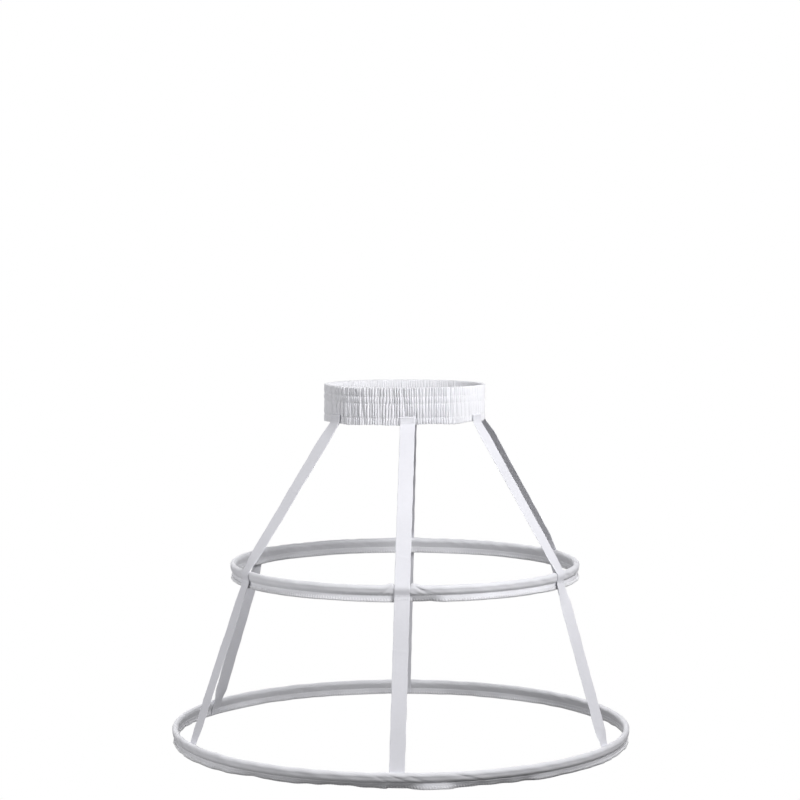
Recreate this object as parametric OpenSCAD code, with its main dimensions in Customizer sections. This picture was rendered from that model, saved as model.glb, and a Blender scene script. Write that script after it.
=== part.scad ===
// Two-hoop crinoline cage: a gathered elastic waistband, six straps and two hoops in cloth casings.
// Millimetres, +Z up, the front faces -Y. The origin is the centre of the waist opening,
// half way up the waistband. Left and right are the wearer's, so left is +X.

/* [Waistband] */
// Width of the waist opening, side to side
waist_w = 210; // [190:1:280]
// Depth of the waist opening, front to back
waist_d = 172; // [160:1:240]
// Thickness of one layer of the waistband's cloth
band_cloth = 0.8; // [0.5:0.1:1.2]
// Number of gathers round the waistband
gathers = 160; // [100:2:190]
// Height of a full gather above the cloth
gather_h = 1.8; // [0.8:0.1:2.6]
// Depth of the frill below the elastic
frill_h = 9; // [6:0.5:14]
// Height of the heading fold above the elastic
heading_h = 1.6; // [1.2:0.1:4]
// Opening left between the two ends of the waistband's cloth at the back seam
seam_gap = 0.5; // [0.3:0.1:1]

/* [Elastic] */
// Width of the elastic
elastic_w = 38; // [32:1:50]
// Thickness of the elastic
elastic_t = 1.2; // [0.8:0.1:2]
// Lower stitch row, above the elastic's lower edge
lower_row = 18; // [14:0.5:20]
// Upper stitch row, above the elastic's lower edge
upper_row = 27.5; // [25:0.5:29]

/* [Hoops] */
// Diameter of the upper hoop, on the centre of its rod
upper_hoop_d = 470; // [400:5:560]
// Diameter of the lower hoop, on the centre of its rod
lower_hoop_d = 620; // [570:5:720]
// Drop from the waistband's lower edge to the upper hoop
upper_drop = 198.5; // [150:0.5:240]
// Drop from the waistband's lower edge to the lower hoop
lower_drop = 423.5; // [340:0.5:520]
// How far the lower hoop hangs off the waist's centre, towards the wearer's left
lower_shift = -5.6; // [-12:0.1:12]
// Diameter of the coated hoop rod
rod_d = 5; // [3:0.5:6]
// Gap between the rod's two ends, inside the joiner
rod_gap = 2; // [1:0.5:5]
// Length of the joiner sleeve
joiner_l = 40; // [25:1:60]
// Wall of the joiner sleeve
joiner_wall = 0.6; // [0.4:0.1:1]
// Where the hoops and their casings are joined, in degrees round from the front
join_angle = 130; // [127:1:150]

/* [Casings] */
// Thickness of one layer of the casing's cloth
casing_cloth = 0.7; // [0.4:0.1:1]
// Drop from the rod's centre to the casing's stitch row
stitch_drop = 8.8; // [8:0.1:12]
// Height of the double flange below the stitch row
flange_h = 8.5; // [5:0.5:14]
// Opening left between the two ends of a casing at its join
casing_gap = 0.5; // [0.3:0.1:1.5]

/* [Straps] */
// Width of a strap
strap_w = 20; // [15:1:25]
// Thickness of a strap
strap_t = 0.8; // [0.5:0.1:1.2]
// Lap of a strap's upper end on the waistband
strap_lap = 10; // [6:0.5:14]
// How far the waistband is turned against the hoops, in degrees
waist_turn = 2.5; // [0:0.5:8]

/* [Hidden] */
$fn = 180;

cloth_white = [0.93, 0.93, 0.95];
strap_white = [0.96, 0.96, 0.98];
elastic_cream = [0.88, 0.87, 0.83];
rod_white = [0.90, 0.91, 0.92];
joiner_grey = [0.62, 0.63, 0.65];

// Clearances: elastic in its casing, joiner in its channel, rod in its joiner, strap on what carries it
elastic_ease = 0.3;
channel_ease = 0.25;
joiner_ease = 0.05;
strap_ease = 0.15;

// Heights of the waistband
band_h = frill_h + elastic_w + heading_h;
band_bottom = -band_h / 2;
elastic_z = band_bottom + frill_h;

// Distances outwards from the waist opening, through the waistband's layers
elastic_in = band_cloth + elastic_ease;
elastic_out = elastic_in + elastic_t;
band_base = elastic_out + elastic_ease + band_cloth;

// The gathers: a share of their full height at each row, pinched in at the stitch rows
frill_share = 0.55;
pinch_share = 0.2;
puff_share = 1;
heading_share = 0.6;
puff_inset = 3;
frill_inset = 1;
gather_points = 2 * gathers;
elastic_points = 120;
cut_over = 1;

// One row of the waistband's outside: [height above the lower edge, share of gather_h, zone]
lower_stitch = frill_h + lower_row;
upper_stitch = frill_h + upper_row;
band_rows = [
    [0, frill_share, 0],
    [frill_h - frill_inset, pinch_share, 0],
    [frill_h + puff_inset, puff_share, 1],
    [lower_stitch - puff_inset, puff_share, 1],
    [lower_stitch, pinch_share, 1],
    [(lower_stitch + upper_stitch) / 2, puff_share, 2],
    [upper_stitch, pinch_share, 2],
    [upper_stitch + puff_inset, puff_share, 3],
    [band_h - heading_h, puff_share, 3],
    [band_h, heading_share, 3]];
// Each zone between stitch rows has gathers of its own, with uneven ridges, valleys and spacing
ridges = [for (zone = [0:3]) rands(0.45, 1, gather_points, 11 + zone)];
valleys = [for (zone = [0:3]) rands(0, 0.2, gather_points, 31 + zone)];
drift = rands(-0.3, 0.3, gather_points, 7);

// Casing section, about the rod's centre: u outwards, v up
joiner_in_r = rod_d / 2 + joiner_ease;
joiner_out_r = joiner_in_r + joiner_wall;
channel_r = joiner_out_r + channel_ease;
tube_r = channel_r + casing_cloth;
flange_t = 2 * casing_cloth;
flange_drop = stitch_drop + flange_h;
channel_foot = 0.05;
teardrop_steps = 24;
rod_facets = 48;
upper_r = upper_hoop_d / 2;
lower_r = lower_hoop_d / 2;
upper_z = band_bottom - upper_drop;
lower_z = band_bottom - lower_drop;
upper_centre = [0, 0, upper_z];
lower_centre = [lower_shift, 0, lower_z];

// Straps: six, from the front round by the wearer's left. The worn cage hangs unevenly, so each strap
// leaves its even place by some degrees: [at the waistband, at the upper hoop, at the lower hoop]
strap_leads = [[0, 0, 0], [0, 0.5, 3], [-15.5, -1, -3.5], [-5.5, 0, 0], [-6.5, 1.2, 1.2], [0, -1.5, -4]];
strap_pitch = 360 / len(strap_leads);
strap_end_inset = 0.5;
arc_steps = 5;
run_steps = 4;

// A point of the waist oval, its outward normal, and the point that lies off it by a distance
function waist_point(t) = [waist_w / 2 * sin(t), -waist_d / 2 * cos(t)];
function waist_normal(t) =
    let (n = [waist_d * sin(t), -waist_w * cos(t)]) n / norm(n);
function waist_offset(t, d) = waist_point(t) + d * waist_normal(t);

// Outline of the waist oval, moved outwards by a distance
module waist_outline(d) {
    polygon([for (i = [0:elastic_points - 1]) waist_offset(360 * i / elastic_points, d)]);
}

// A closed band between two such outlines
module waist_ring(inner, outer, height) {
    linear_extrude(height) difference() {
        waist_outline(outer);
        waist_outline(inner);
    }
}

// Two triangles of a swept surface, from ring i to ring k and from point j to point l
function swept_pair(i, k, j, l, m) =
    [[i * m + j, i * m + l, k * m + l], [i * m + j, k * m + l, k * m + j]];

// Height of the gathers at a point: ridges and valleys take turns, and change places from zone to zone
function gather(i, row) =
    gather_h * row[1] * ((i + row[2]) % 2 == 0 ? ridges[row[2]][i] : valleys[row[2]][i]);

// One upright section of the waistband, up its outside and down its inside
function band_section(i) =
    let (t = 360 * (i + drift[i]) / gather_points)
    concat(
        [for (row = band_rows)
            let (p = waist_offset(t, band_base + gather(i, row))) [p.x, p.y, band_bottom + row[0]]],
        [for (z = [band_h, 0])
            let (p = waist_point(t)) [p.x, p.y, band_bottom + z]]);

// The waistband: one strip of cloth folded over the elastic, gathered and stitched in rows
module waistband() {
    m = len(band_section(0));
    points = [for (i = [0:gather_points - 1]) each band_section(i)];
    faces = [for (i = [0:gather_points - 1], j = [0:m - 1])
        each swept_pair(i, (i + 1) % gather_points, j, (j + 1) % m, m)];
    reach = band_base + gather_h;
    color(cloth_white) difference() {
        polyhedron(points, faces);
        translate([0, 0, elastic_z - elastic_ease])
            waist_ring(band_cloth, elastic_out + elastic_ease, elastic_w + 2 * elastic_ease);
        translate([-seam_gap / 2, waist_d / 2 - cut_over, band_bottom - cut_over])
            cube([seam_gap, reach + 2 * cut_over, band_h + 2 * cut_over]);
    }
}

// The elastic inside the waistband
module waist_elastic() {
    color(elastic_cream) translate([0, 0, elastic_z])
        waist_ring(elastic_in, elastic_out, elastic_w);
}

// Angle at which a line from point p touches a circle of radius r about the origin, on the side given
function touch_angle(p, r, side) = atan2(p.y, p.x) + side * acos(r / norm(p));
function arc(r, from, to, steps) =
    [for (i = [0:steps]) let (a = from + (to - from) * i / steps) r * [cos(a), sin(a)]];

// A teardrop: round over the rod, and drawn in straight to a foot of the given half width
function teardrop(r, half_w, drop) =
    let (a = touch_angle([half_w, -drop], r, 1))
    concat([[half_w, -drop]], arc(r, a, 180 - a, teardrop_steps), [[-half_w, -drop]]);

// Section of a casing: one strip folded round the rod, stitched below it, with a double flange
module casing_section() {
    difference() {
        polygon(concat(teardrop(tube_r, flange_t / 2, stitch_drop),
                       [[-flange_t / 2, -flange_drop], [flange_t / 2, -flange_drop]]));
        polygon(teardrop(channel_r, channel_foot, stitch_drop - casing_cloth));
    }
}

// Turns what is drawn in (u, v) round a hoop's centre at radius r, leaving a gap open at the join
module round_hoop(r, centre, gap) {
    open_angle = gap / r * 180 / PI;
    translate(centre) rotate([0, 0, join_angle - 90 + open_angle / 2])
        rotate_extrude(angle = 360 - open_angle) translate([r, 0]) children();
}

module casing(r, centre) {
    color(cloth_white) round_hoop(r, centre, casing_gap) casing_section();
}

// The rod inside a casing, bent round until its ends almost meet
module hoop(r, centre) {
    color(rod_white) round_hoop(r, centre, rod_gap) circle(d = rod_d, $fn = rod_facets);
}

// The sleeve that is crimped over the rod's two ends
module joiner(r, centre) {
    angle = joiner_l / r * 180 / PI;
    color(joiner_grey) translate(centre) rotate([0, 0, join_angle - 90 - angle / 2])
        rotate_extrude(angle = angle) translate([r, 0]) difference() {
            circle(r = joiner_out_r, $fn = rod_facets);
            circle(r = joiner_in_r, $fn = rod_facets);
        }
}

// A strap is a list of stations down its length, each [centre, width direction, outward normal].
// Directions round the hoops at an angle from the front, and a point in that upright plane
function outward(phi) = [sin(phi), -cos(phi), 0];
function along(phi) = [cos(phi), sin(phi), 0];
function upright(phi, r, z) = r * outward(phi) + [0, 0, z];
function unit(v) = v / norm(v);
function hoop_station(phi, r, centre, p, n) =
    [centre + upright(phi, r + p.x, p.y), along(phi), upright(phi, n.x, n.y)];
function between(a, b, share) =
    [for (i = [0:2]) i == 0 ? a[0] + (b[0] - a[0]) * share : unit(a[i] + (b[i] - a[i]) * share)];
function run(a, b) = [for (i = [1:run_steps - 1]) between(a, b, i / run_steps)];

// Distance from a surface to a strap's centre line, on the outside of a curve of radius r and inside it
seat = strap_ease + strap_t / 2;
function inside_seat(r) = seat + strap_w * strap_w / (8 * r);

// Stations over the outside of the upper casing: round the tube and into the stitch row
function upper_stations(phi, from) =
    let (rho = tube_r + seat,
         foot = [flange_t / 2 + seat, -stitch_drop],
         top = touch_angle(from, rho, -1),
         low = touch_angle(foot, rho, 1))
    concat(
        [for (p = arc(rho, top, low, arc_steps)) hoop_station(phi, upper_r, upper_centre, p, unit(p))],
        [hoop_station(phi, upper_r, upper_centre, foot, [1, 0])]);

// Stations down the inside of the lower casing: under the tube, the stitch row and the flange
function lower_stations(phi, from) =
    let (s = inside_seat(lower_r - tube_r),
         rho = tube_r + s,
         foot = [-flange_t / 2 - s, -stitch_drop],
         top = touch_angle(from, rho, 1),
         low = 180 - touch_angle([-foot.x, foot.y], rho, 1))
    concat(
        [for (p = arc(rho, top, low, arc_steps)) hoop_station(phi, lower_r, lower_centre, p, -unit(p))],
        [hoop_station(phi, lower_r, lower_centre, foot, [1, 0]),
         hoop_station(phi, lower_r, lower_centre, [foot.x, -flange_drop + strap_end_inset], [1, 0])]);

function strap_stations(k) =
    let (even = strap_pitch * k,
         t = even + waist_turn + strap_leads[k][0],
         upper_phi = even + strap_leads[k][1],
         lower_phi = even + strap_leads[k][2],
         p = waist_offset(t, band_base + frill_share * gather_h + seat),
         n = waist_normal(t),
         waist_n = [n.x, n.y, 0],
         waist_w_dir = [-n.y, n.x, 0],
         waist_r = [p.x, p.y, 0] * outward(upper_phi),
         upper = upper_stations(upper_phi, [waist_r - upper_r, band_bottom - upper_z]),
         edge = [[p.x, p.y, band_bottom], waist_w_dir, unit(waist_n + upper[0][2])],
         foot = upper[len(upper) - 1],
         below = foot[0] - lower_centre,
         lower = lower_stations(lower_phi, [below * outward(lower_phi) - lower_r, below.z]))
    concat(
        [[[p.x, p.y, band_bottom + strap_lap], waist_w_dir, waist_n], edge],
        run(edge, upper[0]), upper, run(foot, lower[0]), lower);

function strap_section(s) =
    let (w = s[1] * strap_w / 2, n = s[2] * strap_t / 2)
    [s[0] - w - n, s[0] + w - n, s[0] + w + n, s[0] - w + n];

// Strap number k, sewn to the waistband's outside, over the upper casing and inside the lower one
module strap(k) {
    stations = strap_stations(k);
    m = 4;
    last = len(stations) - 1;
    points = [for (s = stations) each strap_section(s)];
    faces = concat(
        [for (i = [0:last - 1], j = [0:m - 1]) each swept_pair(i, i + 1, j, (j + 1) % m, m)],
        [[3, 2, 1, 0], [for (j = [0:m - 1]) last * m + j]]);
    color(strap_white) polyhedron(points, faces);
}

waistband();
waist_elastic();
strap(0);  // strap_front
strap(1);  // strap_front_left
strap(2);  // strap_back_left
strap(3);  // strap_back
strap(4);  // strap_back_right
strap(5);  // strap_front_right
casing(upper_r, upper_centre);  // upper_casing
hoop(upper_r, upper_centre);  // upper_hoop
joiner(upper_r, upper_centre);  // upper_joiner
casing(lower_r, lower_centre);  // lower_casing
hoop(lower_r, lower_centre);  // lower_hoop
joiner(lower_r, lower_centre);  // lower_joiner
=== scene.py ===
"""Looks of the two-hoop crinoline cage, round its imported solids. Metres, +Z up, the front faces -Y."""
import math

import bpy
import numpy as np
from mathutils import Matrix, Vector


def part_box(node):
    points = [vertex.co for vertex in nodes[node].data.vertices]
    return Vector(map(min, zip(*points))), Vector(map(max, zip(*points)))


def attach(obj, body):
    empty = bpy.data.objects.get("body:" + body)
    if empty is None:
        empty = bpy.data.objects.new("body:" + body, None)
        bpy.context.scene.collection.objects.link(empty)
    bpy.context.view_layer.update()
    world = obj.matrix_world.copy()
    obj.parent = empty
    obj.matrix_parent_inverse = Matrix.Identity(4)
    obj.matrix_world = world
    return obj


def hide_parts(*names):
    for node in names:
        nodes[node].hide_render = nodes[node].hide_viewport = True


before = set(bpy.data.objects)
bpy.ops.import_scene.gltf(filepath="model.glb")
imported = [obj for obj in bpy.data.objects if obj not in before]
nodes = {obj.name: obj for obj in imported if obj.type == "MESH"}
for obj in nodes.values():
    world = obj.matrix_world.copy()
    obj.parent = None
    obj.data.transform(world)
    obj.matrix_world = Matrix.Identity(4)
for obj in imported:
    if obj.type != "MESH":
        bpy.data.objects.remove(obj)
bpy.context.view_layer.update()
MM = 0.001
FULL_TURN = 2 * math.pi

# Waistband: the oval comes from the elastic's box, the heights from the band's own
ELASTIC_OUT = 2.3 * MM
BAND_CLOTH = 0.5 * MM
BAND_BASE = 3.0 * MM
GATHER_H = 4.2 * MM
FRILL_ROW = 8.0 * MM
LOWER_ROW = 27.0 * MM
UPPER_ROW = 36.5 * MM
elastic_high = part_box("waist_elastic")[1]
band_low, band_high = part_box("waistband")
WAIST_A = elastic_high.x - ELASTIC_OUT
WAIST_B = elastic_high.y - ELASTIC_OUT
WAIST_GIRTH = math.pi * (WAIST_A + WAIST_B)
WAIST_TURN = math.radians(2.5)
BAND_BOTTOM = band_low.z
BAND_H = band_high.z - BAND_BOTTOM

# Hoops and their casings
ROD_R = 2.5 * MM
TUBE_R = 4.1 * MM
CASING_CLOTH = 0.6 * MM
STITCH_DROP = 8.8 * MM
FLANGE_H = 8.5 * MM
FLANGE_HALF = 0.35 * MM
JOIN_ANGLE = math.radians(130)

# Straps, in the order round from the front by the wearer's left
STRAPS = ["front", "front_left", "back_left", "back", "back_right", "front_right"]
# Degrees by which each leaves its even place at the waistband, the upper hoop and the lower hoop
STRAP_LEADS = [(0, 0, 0), (0, 0.5, 3), (-15.5, -1, -3.5), (-5.5, 0, 0), (-6.5, 1.2, 1.2), (0, -1.5, -4)]
# Degrees by which each is twisted towards the front, above the upper hoop and below it
STRAP_TWISTS = [(0, 0), (7, 17), (-18, 0), (0, 0), (0, -17), (13, 6)]
STRAP_W = 20 * MM
STRAP_T = 0.8 * MM
STRAP_LAP = 10 * MM


def hoop_size(node):
    """Radius and centre of a hoop's rod, from its box."""
    low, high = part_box(node)
    return (high.x - low.x) / 2 - ROD_R, np.array((low + high) / 2)


UPPER_R, UPPER_C = hoop_size("upper_hoop")
LOWER_R, LOWER_C = hoop_size("lower_hoop")


def strap_places(level):
    """Angles of the straps round the waistband (0), the upper hoop (1) or the lower hoop (2)."""
    even = np.arange(len(STRAPS)) * FULL_TURN / len(STRAPS)
    turn = WAIST_TURN if level == 0 else 0
    return even + turn + np.radians([leads[level] for leads in STRAP_LEADS])


def from_strap(angle, level):
    """Angle to the nearest strap."""
    return np.min([np.abs(turned(angle - place)) for place in strap_places(level)], axis=0)


# Small helpers

def ring_noise(angle, low, high, seed):
    """Smooth noise round a ring, about unit size: waves of every whole number from low to high."""
    draw = np.random.default_rng(seed)
    waves = np.arange(low, high + 1)
    sizes = draw.uniform(0.5, 1, len(waves))
    phases = draw.uniform(0, FULL_TURN, len(waves))
    total = np.zeros_like(angle)
    for wave, size, phase in zip(waves, sizes, phases):
        total += size * np.cos(wave * angle + phase)
    return total / math.sqrt((sizes ** 2).sum() / 2)


def smooth_step(x, low, high):
    """0 up to low, 1 from high on, and a smooth rise between them."""
    share = np.clip((x - low) / (high - low), 0, 1)
    return share * share * (3 - 2 * share)


def unit(v):
    return v / np.linalg.norm(v, axis=-1, keepdims=True)


def turned(angle):
    """Difference of two angles, wrapped to half a turn either way."""
    return (angle + math.pi) % FULL_TURN - math.pi


def outward(angle):
    """Directions outwards at angles from the front."""
    return np.stack([np.sin(angle), -np.cos(angle), 0 * angle], -1)


def lengths_along(points):
    """Lengths along a line of points, from 0 at its first point."""
    steps = np.linalg.norm(np.diff(points, axis=0), axis=1)
    return np.concatenate([[0], np.cumsum(steps)])


def placed(name, points, faces, material, corners=None):
    """A smooth piece of the part, in its place, with UVs if its faces' corners have them."""
    mesh = bpy.data.meshes.new(name)
    mesh.from_pydata(points.reshape(-1, 3).tolist(), [], faces)
    if corners is not None:
        mesh.uv_layers.new(name="UVMap").data.foreach_set("uv", corners.astype(np.float32).ravel())
    mesh.polygons.foreach_set("use_smooth", [True] * len(mesh.polygons))
    mesh.materials.append(material)
    piece = bpy.data.objects.new(name, mesh)
    bpy.context.scene.collection.objects.link(piece)
    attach(piece, "root")
    return piece


def grid_piece(name, points, around, u, v, material):
    """A grid of points, closed across and, if said, around. The UVs u and v are in metres.

    A grid that isn't closed around gets a face at each end.
    """
    n, m = points.shape[:2]
    i = np.arange(n if around else n - 1)[:, None]
    j = np.arange(m)[None, :]
    i_next = (i + 1) % n
    j_next = (j + 1) % m
    quads = np.stack([i * m + j, i_next * m + j, i_next * m + j_next, i * m + j_next], -1)
    faces = quads.reshape(-1, 4).tolist()
    iu, jv = np.broadcast_arrays(i, j)
    corner_u = np.stack([u[iu], u[iu + 1], u[iu + 1], u[iu]], -1).reshape(-1)
    corner_v = np.stack([v[jv], v[jv], v[jv + 1], v[jv + 1]], -1).reshape(-1)
    corners = np.stack([corner_u, corner_v], -1)
    if not around:
        faces.append(list(range(m)))
        faces.append([(n - 1) * m + k for k in range(m)][::-1])
        first = np.stack([np.full(m, u[0]), v[:m]], -1)
        last = np.stack([np.full(m, u[n - 1]), v[:m][::-1]], -1)
        corners = np.concatenate([corners, first, last])
    return placed(name, points, faces, material, corners)


def thread_piece(name, lines, normals, radii, loop=False, sides=5):
    """Thread as tubes: lines is (tubes, points, 3), and radii runs down a tube.

    The normals point away from the cloth. A loop is joined end to end. Other tubes get end faces.
    """
    k, p = lines.shape[:2]
    if loop:
        along = unit(np.roll(lines, -1, 1) - np.roll(lines, 1, 1))
    else:
        along = unit(np.gradient(lines, axis=1))
    beside = unit(np.cross(along, np.broadcast_to(normals, lines.shape)))
    above = np.cross(beside, along)
    turn = np.arange(sides) * FULL_TURN / sides
    ring = above[:, :, None] * np.cos(turn)[:, None] + beside[:, :, None] * np.sin(turn)[:, None]
    points = lines[:, :, None] + ring * radii[None, :, None, None]
    steps = np.arange(p if loop else p - 1)
    tube, step, side = np.meshgrid(np.arange(k), steps, np.arange(sides), indexing="ij")
    step_next = (step + 1) % p
    side_next = (side + 1) % sides

    def corner(at_step, at_side):
        return ((tube * p + at_step) * sides + at_side).ravel()

    faces = np.stack([corner(step, side), corner(step, side_next),
                      corner(step_next, side_next), corner(step_next, side)], -1).tolist()
    if not loop:
        first = (np.arange(k)[:, None] * p * sides + np.arange(sides)[None, ::-1]).tolist()
        last = ((np.arange(k)[:, None] * p + p - 1) * sides + np.arange(sides)[None, :]).tolist()
        faces += first + last
    return placed(name, points, faces, thread_white)


# Materials

FUZZ_SCALE = 1800
SLUB_SCALE = 260
TONE_SCALE = 14
TONE_SHARE = 0.7
SLUB_SHARE = 0.3
CLOTH_DARK = 0.93
HARD_DARK = 0.88
SHEEN_ROUGHNESS = 0.4
CLOTH_SPECULAR = 0.25
RAMP_START = 0.3
RAMP_END = 0.7


def new_material(name):
    material = bpy.data.materials.new(name)
    material.use_nodes = True
    tree = material.node_tree
    return material, tree, tree.nodes["Principled BSDF"]


def math_node(tree, operation, first, second=None):
    node = tree.nodes.new("ShaderNodeMath")
    node.operation = operation
    for socket, value in zip(node.inputs, (first, second)):
        if value is None:
            continue
        if isinstance(value, (int, float)):
            socket.default_value = value
        else:
            tree.links.new(value, socket)
    return node.outputs[0]


def weighted_sum(tree, first, first_weight, second, second_weight):
    return math_node(tree, "ADD", math_node(tree, "MULTIPLY", first, first_weight),
                     math_node(tree, "MULTIPLY", second, second_weight))


def noise_node(tree, coordinates, scale, detail):
    node = tree.nodes.new("ShaderNodeTexNoise")
    node.inputs["Scale"].default_value = scale
    node.inputs["Detail"].default_value = detail
    tree.links.new(coordinates, node.inputs["Vector"])
    return node.outputs["Fac"]


def colour_between(tree, factor, dark, light):
    ramp = tree.nodes.new("ShaderNodeValToRGB")
    ramp.color_ramp.elements[0].position = RAMP_START
    ramp.color_ramp.elements[0].color = (*dark, 1)
    ramp.color_ramp.elements[1].position = RAMP_END
    ramp.color_ramp.elements[1].color = (*light, 1)
    tree.links.new(factor, ramp.inputs["Fac"])
    return ramp.outputs["Color"]


def add_bump(tree, shader, height, distance):
    bump = tree.nodes.new("ShaderNodeBump")
    bump.inputs["Distance"].default_value = distance
    tree.links.new(height, bump.inputs["Height"])
    tree.links.new(bump.outputs["Normal"], shader.inputs["Normal"])


def cloth_material(name, colour, pitch, weave_depth, fuzz_depth, roughness, sheen):
    """Woven cloth: threads along the UVs, slubs, a soft fuzz and faint changes of tone."""
    material, tree, shader = new_material(name)
    uv = tree.nodes.new("ShaderNodeTexCoord").outputs["UV"]
    place = tree.nodes.new("ShaderNodeTexCoord").outputs["Object"]
    split = tree.nodes.new("ShaderNodeSeparateXYZ")
    tree.links.new(uv, split.inputs[0])

    def thread_wave(axis):
        return math_node(tree, "SINE", math_node(tree, "MULTIPLY", split.outputs[axis], FULL_TURN / pitch))

    weave = math_node(tree, "MULTIPLY", thread_wave("X"), thread_wave("Y"))
    fuzz = noise_node(tree, place, FUZZ_SCALE, detail=2)
    slubs = noise_node(tree, place, SLUB_SCALE, detail=3)
    tone = noise_node(tree, place, TONE_SCALE, detail=3)
    shade = weighted_sum(tree, tone, TONE_SHARE, slubs, SLUB_SHARE)
    dark = tuple(CLOTH_DARK * c for c in colour)
    tree.links.new(colour_between(tree, shade, dark, colour), shader.inputs["Base Color"])
    add_bump(tree, shader, weighted_sum(tree, weave, weave_depth, fuzz, fuzz_depth), 1)
    shader.inputs["Roughness"].default_value = roughness
    shader.inputs["Sheen Weight"].default_value = sheen
    shader.inputs["Sheen Roughness"].default_value = SHEEN_ROUGHNESS
    shader.inputs["Specular IOR Level"].default_value = CLOTH_SPECULAR
    return material


def plain_material(name, colour, roughness, metallic, grain_scale, grain_depth):
    """A hard surface with a fine grain."""
    material, tree, shader = new_material(name)
    place = tree.nodes.new("ShaderNodeTexCoord").outputs["Object"]
    grain = noise_node(tree, place, grain_scale, detail=4)
    dark = tuple(HARD_DARK * c for c in colour)
    tree.links.new(colour_between(tree, grain, dark, colour), shader.inputs["Base Color"])
    add_bump(tree, shader, grain, grain_depth)
    shader.inputs["Roughness"].default_value = roughness
    shader.inputs["Metallic"].default_value = metallic
    return material


band_white = cloth_material("band_white", colour=(0.91, 0.91, 0.945), pitch=0.6 * MM,
                            weave_depth=0.01 * MM, fuzz_depth=0.015 * MM, roughness=0.85, sheen=0.25)
tape_white = cloth_material("tape_white", colour=(0.82, 0.82, 0.87), pitch=0.9 * MM,
                            weave_depth=0.006 * MM, fuzz_depth=0.01 * MM, roughness=0.75, sheen=0.2)
casing_white = cloth_material("casing_white", colour=(0.84, 0.84, 0.88), pitch=0.7 * MM,
                              weave_depth=0.01 * MM, fuzz_depth=0.015 * MM, roughness=0.8, sheen=0.2)
elastic_white = cloth_material("elastic_white", colour=(0.72, 0.71, 0.68), pitch=1.6 * MM,
                               weave_depth=0.15 * MM, fuzz_depth=0.02 * MM, roughness=0.8, sheen=0.1)
thread_white = plain_material("thread_white", colour=(0.92, 0.92, 0.94), roughness=0.6, metallic=0,
                              grain_scale=900, grain_depth=0.02 * MM)
rod_white = plain_material("rod_white", colour=(0.80, 0.81, 0.83), roughness=0.4, metallic=0,
                           grain_scale=120, grain_depth=0.01 * MM)
joiner_grey = plain_material("joiner_grey", colour=(0.45, 0.46, 0.48), roughness=0.35, metallic=1,
                             grain_scale=400, grain_depth=0.01 * MM)


# Camera, at the photograph's angle, found from both hoops' outlines
CAMERA_DISTANCE = 3.2408
CAMERA_HEIGHT = 0.2333
CAMERA_PITCH = math.radians(4.09)
CAMERA_AZIMUTH = math.radians(0.95)
CAMERA_SIDE = -6.7 * MM
CAMERA_LENS = 107
CAMERA_SENSOR = 36


def make_camera():
    camera = bpy.data.objects.new("camera", bpy.data.cameras.new("camera"))
    camera.data.lens = CAMERA_LENS
    camera.data.sensor_width = CAMERA_SENSOR
    turn = Matrix.Rotation(CAMERA_AZIMUTH, 4, "Z")
    place = Matrix.Translation((CAMERA_SIDE, -CAMERA_DISTANCE, CAMERA_HEIGHT))
    camera.matrix_world = turn @ place @ Matrix.Rotation(math.pi / 2 - CAMERA_PITCH, 4, "X")
    bpy.context.scene.collection.objects.link(camera)
    bpy.context.scene.camera = camera


# Waistband: one strip of cloth folded over the elastic, drawn up in gathers between its stitch rows

BAND_ROWS = np.array([FRILL_ROW, LOWER_ROW, UPPER_ROW])
ROW_DENT = 0.3
ROW_REACH = 1.5 * MM
GATHERS = 188
# Shape of a gather: how broad its ridge is, its height, and how these change from one to the next
RIDGE_POWER = 0.6
RIDGE_SIZE = 0.82
RIDGE_SWAY = 0.18
RIDGE_LIMITS = (0.35, 1.1)
RIDGE_DRIFT = 0.1
WIDTH_SWAY = 0.6
LEAN_SWAY = 1.2
ROW_SWAY = 0.9
# How far the straps' ends press the gathers down, and how far beside and above a strap
PRESSED_SHARE = 0.36
PRESSED_BESIDE = 2 * MM
PRESSED_ABOVE = 1.5 * MM
# How full the gathers are round the waist, in degrees from the front: tight in front, slack beside
FULLNESS = [(-180, 0.75), (-110, 0.65), (-75, 0.55), (-55, 0.6), (-42, 0.95), (0, 1), (15, 1.15),
            (28, 1.15), (40, 0.6), (52, 0.3), (75, 0.35), (110, 0.6), (179, 0.75)]
# Noises round the waist: fewest and most waves in a turn, and a seed
WIDTH_NOISE = (6, 30, 101)
LEAN_NOISE = (3, 14, 102)
ROW_NOISES = [(5, 18, 110), (5, 18, 111), (5, 18, 112)]
RIDGE_NOISE = (30, 110, 120)
LOOSE_NOISE = (3, 14, 501)
HEM_NOISE = (3, 12, 511)
BAND_LOOSE = 0.2 * MM
BAND_SEAM_W = 0.7 * MM
BAND_SEAM_DEPTH = 0.7 * MM
INSIDE_BASE = 0.4 * MM
INSIDE_GATHER = 0.9 * MM
# The frill's edge: its unevenness, its curl on the gathers, its slope from side to side and its drop
HEM_SWAY = 0.6 * MM
HEM_CURL = 0.9 * MM
HEM_SLOPE = 1.2 * MM
HEM_DROP = 0.5 * MM


def waist_point(t, away):
    """Points of the waist oval at the angles t, moved outwards by a distance."""
    normal = unit(np.stack([WAIST_B * np.sin(t), -WAIST_A * np.cos(t)], -1))
    point = np.stack([WAIST_A * np.sin(t), -WAIST_B * np.cos(t)], -1)
    return point + normal * np.asarray(away)[..., None], normal


def near_strap(t):
    """1 under a strap's end, 0 between the straps."""
    away = from_strap(t, 0) * (WAIST_A + WAIST_B) / 2
    return 1 - smooth_step(away, STRAP_W / 2, STRAP_W / 2 + PRESSED_BESIDE)


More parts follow.
